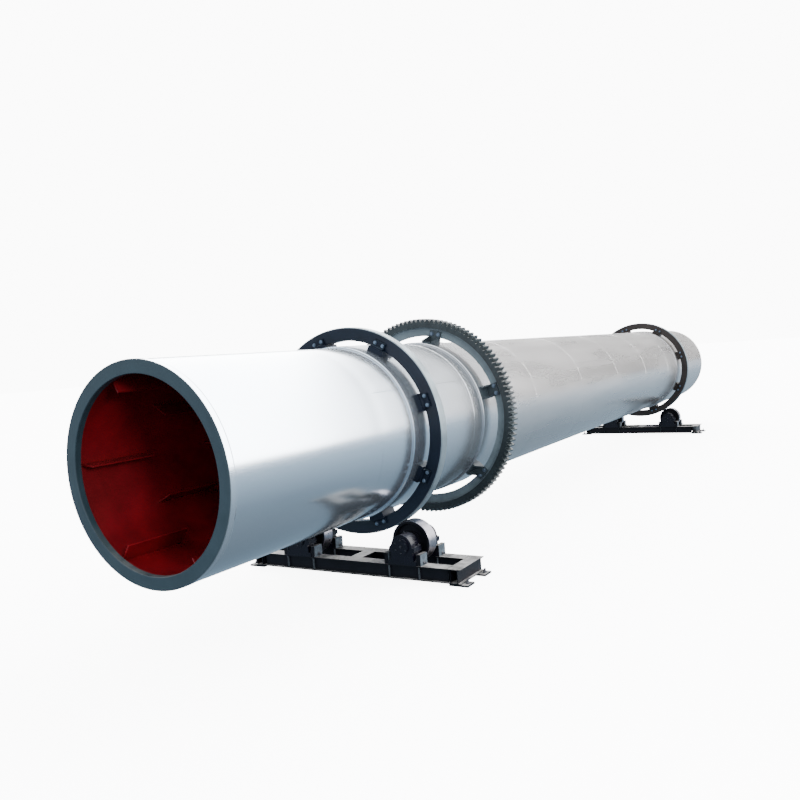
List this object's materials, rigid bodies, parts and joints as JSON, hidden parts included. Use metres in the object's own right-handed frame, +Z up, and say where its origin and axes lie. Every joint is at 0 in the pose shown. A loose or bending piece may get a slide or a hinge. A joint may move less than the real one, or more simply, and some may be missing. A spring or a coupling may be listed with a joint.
{
  "type": "rotary dryer drum on roller stations",
  "caption": "Long rotating dryer drum on riding rings and roller frames, with a girth gear near its feed end and lifting flights inside.",
  "frame": {"origin": "on the ground under the middle of the drum", "axes": "+X along the drum from the feed end to the discharge end, +Z up, left is +Y"},
  "size_m": [18, 2.8072, 2.7201],
  "materials": {
    "shell_paint": "gloss silver-grey paint",
    "band_paint": "gloss silver-grey paint",
    "ring_paint": "slate-blue satin paint",
    "tyre_steel": "navy-black paint, worn tread",
    "gear_steel": "dark green-black paint",
    "lug_paint": "navy-black paint",
    "inner_oxide": "matte oxide-red primer",
    "frame_paint": "dusty black paint",
    "bearing_paint": "satin black paint",
    "block_steel": "pale grey-blue paint",
    "roller_steel": "dark cast wheel, bright tread",
    "shaft_steel": "turned steel"
  },
  "bodies": {
    "supports": {"feed_front_beam": "frame_paint", "feed_rear_beam": "frame_paint", "feed_cross_members": "frame_paint", "feed_foot_plates": "frame_paint", "feed_left_bearings": "bearing_paint", "feed_right_bearings": "bearing_paint", "feed_stop_blocks": "block_steel", "discharge_front_beam": "frame_paint", "discharge_rear_beam": "frame_paint", "discharge_cross_members": "frame_paint", "discharge_foot_plates": "frame_paint", "discharge_left_bearings": "bearing_paint", "discharge_right_bearings": "bearing_paint", "discharge_stop_blocks": "block_steel"},
    "drum": {"feed_end_ring": "ring_paint", "drum_shell_feed": "shell_paint", "drum_shell_middle": "shell_paint", "drum_shell_discharge": "shell_paint", "discharge_end_ring": "ring_paint", "feed_tyre_wrapper": "band_paint", "gear_wrapper": "band_paint", "discharge_tyre_wrapper": "band_paint", "feed_tyre": "tyre_steel", "feed_tyre_pads": "lug_paint", "feed_tyre_lugs": "lug_paint", "discharge_tyre": "tyre_steel", "discharge_tyre_pads": "lug_paint", "discharge_tyre_lugs": "lug_paint", "girth_gear": "gear_steel", "gear_brackets": "lug_paint", "lifting_flights_1": "inner_oxide", "lifting_flights_2": "inner_oxide", "lifting_flights_3": "inner_oxide", "lifting_flights_4": "inner_oxide", "lifting_flights_5": "inner_oxide"},
    "feed_left_roller_set": {"feed_left_roller": "roller_steel", "feed_left_shaft": "shaft_steel"},
    "feed_right_roller_set": {"feed_right_roller": "roller_steel", "feed_right_shaft": "shaft_steel"},
    "discharge_left_roller_set": {"discharge_left_roller": "roller_steel", "discharge_left_shaft": "shaft_steel"},
    "discharge_right_roller_set": {"discharge_right_roller": "roller_steel", "discharge_right_shaft": "shaft_steel"}
  },
  "joints": [
    {"name": "drum_spin", "type": "hinge", "parent": "supports", "child": "drum", "pos_m": [0, 0, 1.52032], "axis": [1, 0, 0], "continuous": true},
    {"name": "feed_left_roller_spin", "type": "hinge", "parent": "supports", "child": "feed_left_roller_set", "pos_m": [-6.13, 0.6676, 0.364], "axis": [1, 0, 0], "continuous": true},
    {"name": "feed_right_roller_spin", "type": "hinge", "parent": "supports", "child": "feed_right_roller_set", "pos_m": [-6.13, -0.6676, 0.364], "axis": [1, 0, 0], "continuous": true},
    {"name": "discharge_left_roller_spin", "type": "hinge", "parent": "supports", "child": "discharge_left_roller_set", "pos_m": [6.13, 0.6676, 0.364], "axis": [1, 0, 0], "continuous": true},
    {"name": "discharge_right_roller_spin", "type": "hinge", "parent": "supports", "child": "discharge_right_roller_set", "pos_m": [6.13, -0.6676, 0.364], "axis": [1, 0, 0], "continuous": true}
  ],
  "couplings": [
    {"joint": "feed_left_roller_spin", "follows": "drum_spin", "ratio": -4.9329},
    {"joint": "feed_right_roller_spin", "follows": "drum_spin", "ratio": -4.9329},
    {"joint": "discharge_left_roller_spin", "follows": "drum_spin", "ratio": -4.9329},
    {"joint": "discharge_right_roller_spin", "follows": "drum_spin", "ratio": -4.9329}
  ]
}
